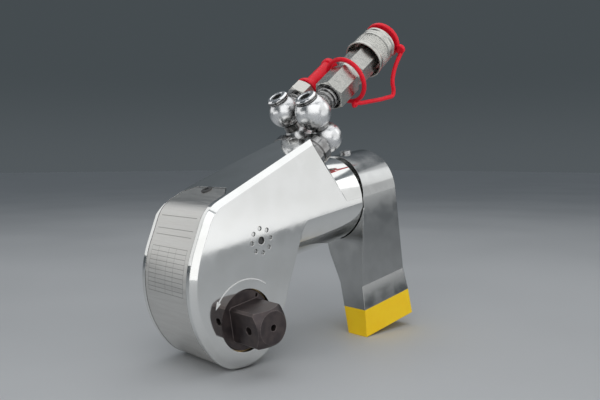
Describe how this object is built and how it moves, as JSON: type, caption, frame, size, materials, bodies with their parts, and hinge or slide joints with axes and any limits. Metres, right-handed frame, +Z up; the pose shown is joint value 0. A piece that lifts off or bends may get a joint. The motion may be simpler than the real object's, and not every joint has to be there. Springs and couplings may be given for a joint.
{
  "type": "hydraulic torque wrench",
  "caption": "Square drive hydraulic torque wrench with a ratchet head, a splined reaction arm and two swivelling hose couplers.",
  "frame": {"origin": "on the drive axis, in the plane of the side face that the square drive leaves", "axes": "+Z up, -Y along the square drive out of the tool, +X from the drive towards the reaction arm"},
  "size_m": [0.2329, 0.1031, 0.2703],
  "materials": {
    "polished_steel": "polished nickel plate over machined steel",
    "brushed_plate": "brushed stainless sheet",
    "black_steel": "black oxide on alloy steel",
    "mirror_chrome": "mirror polished",
    "zinc_steel": "satin zinc plate",
    "plain_steel": "ground steel",
    "bronze": "turned bronze",
    "red_plastic": "soft moulded vinyl",
    "yellow_foot": "smooth enamel",
    "seal_rubber": "moulded"
  },
  "bodies": {
    "tool": {"housing": "polished_steel", "chart_plate": "brushed_plate", "plate_screws": "plain_steel", "drive_bush_near": "bronze", "drive_bush_far": "bronze", "cylinder_end_cap": "plain_steel", "end_cap_seal": "seal_rubber", "rod_gland": "bronze", "rod_seal": "seal_rubber", "crank_stop_pins": "plain_steel", "swivel_post_near": "mirror_chrome", "swivel_post_far": "mirror_chrome"},
    "drive": {"drive_shaft": "black_steel", "ratchet_wheel": "plain_steel", "drive_retainer": "black_steel"},
    "drive_release": {"release_button": "plain_steel"},
    "crank": {"crank_plate_near": "plain_steel", "crank_plate_far": "plain_steel", "rod_pin": "plain_steel", "drive_pawl_pin": "plain_steel", "crank_spacer_pin": "plain_steel"},
    "piston": {"piston_rod": "plain_steel", "piston": "plain_steel", "piston_seal": "seal_rubber", "piston_nut": "plain_steel"},
    "drive_pawl": {"drive_pawl": "plain_steel"},
    "reaction_pawl": {"reaction_pawl": "plain_steel"},
    "arm": {"reaction_arm": "polished_steel", "foot_pad": "yellow_foot", "foot_bolts": "plain_steel"},
    "arm_latch": {"arm_latch_button": "plain_steel"},
    "near_swivel": {"lower_ball_near": "mirror_chrome", "swivel_plug_near": "mirror_chrome"},
    "far_swivel": {"lower_ball_far": "mirror_chrome", "swivel_plug_far": "mirror_chrome"},
    "near_line": {"upper_ball_near": "mirror_chrome", "female_adapter": "zinc_steel", "female_body": "zinc_steel", "female_snap_ring": "plain_steel", "male_cap_tether": "red_plastic", "female_cap_strap": "red_plastic"},
    "far_line": {"upper_ball_far": "mirror_chrome", "male_adapter": "zinc_steel", "male_nipple": "zinc_steel"},
    "sleeve": {"female_sleeve": "zinc_steel"},
    "female_cap": {"female_dust_cap": "red_plastic"},
    "male_cap": {"male_dust_cap": "red_plastic"}
  },
  "joints": [
    {"name": "drive_spin", "type": "hinge", "parent": "tool", "child": "drive", "pos_m": [0, 0.034, 0], "axis": [0, 1, 0], "continuous": true},
    {"name": "release_push", "type": "slide", "parent": "drive", "child": "drive_release", "axis": [0, -1, 0], "range_m": [0, 0.002], "stiffness_N_per_m": 300, "springref_m": -0.002},
    {"name": "crank_swing", "type": "hinge", "parent": "tool", "child": "crank", "pos_m": [0, 0.034, 0], "axis": [0, -1, 0], "range_deg": [0, 22]},
    {"name": "piston_stroke", "type": "slide", "parent": "tool", "child": "piston", "axis": [-0.9859, 0, -0.1676], "range_m": [0, 0.0235]},
    {"name": "drive_pawl_tilt", "type": "hinge", "parent": "crank", "child": "drive_pawl", "pos_m": [-0.00043, 0.034, 0.038], "axis": [0, 1, 0], "range_deg": [0, 8]},
    {"name": "reaction_pawl_tilt", "type": "hinge", "parent": "tool", "child": "reaction_pawl", "pos_m": [0.02774, 0.034, 0.02298], "axis": [0, 1, 0], "range_deg": [0, 6]},
    {"name": "arm_slide", "type": "slide", "parent": "tool", "child": "arm", "axis": [0.9859, 0, 0.1676], "range_m": [0, 0.04]},
    {"name": "latch_push", "type": "slide", "parent": "arm", "child": "arm_latch", "axis": [0.1676, 0, -0.9859], "range_m": [0, 0.0016], "stiffness_N_per_m": 400, "springref_m": -0.002},
    {"name": "near_swivel_turn", "type": "hinge", "parent": "tool", "child": "near_swivel", "pos_m": [0.09868, 0.018, 0.13199], "axis": [0.7864, 0, 0.6177], "range_deg": [0, 60]},
    {"name": "far_swivel_turn", "type": "hinge", "parent": "tool", "child": "far_swivel", "pos_m": [0.09868, 0.05, 0.13199], "axis": [-0.7864, 0, -0.6177], "range_deg": [0, 60]},
    {"name": "near_line_turn", "type": "hinge", "parent": "near_swivel", "child": "near_line", "pos_m": [0.08324, 0.018, 0.15165], "axis": [0.6177, 0, -0.7864], "range_deg": [0, 90]},
    {"name": "far_line_turn", "type": "hinge", "parent": "far_swivel", "child": "far_line", "pos_m": [0.08169, 0.05, 0.15361], "axis": [-0.6177, 0, 0.7864], "range_deg": [0, 90]},
    {"name": "sleeve_pull", "type": "slide", "parent": "near_line", "child": "sleeve", "axis": [-0.7864, 0, -0.6177], "range_m": [0, 0.006], "stiffness_N_per_m": 800, "springref_m": -0.003},
    {"name": "female_cap_pull", "type": "slide", "parent": "near_line", "child": "female_cap", "axis": [0.7864, 0, 0.6177], "range_m": [0, 0.0135]},
    {"name": "male_cap_pull", "type": "slide", "parent": "far_line", "child": "male_cap", "axis": [0.7864, 0, 0.6177], "range_m": [0, 0.03]}
  ],
  "couplings": [
    {"joint": "piston_stroke", "follows": "crank_swing", "m_per_rad": 0.06058}
  ]
}
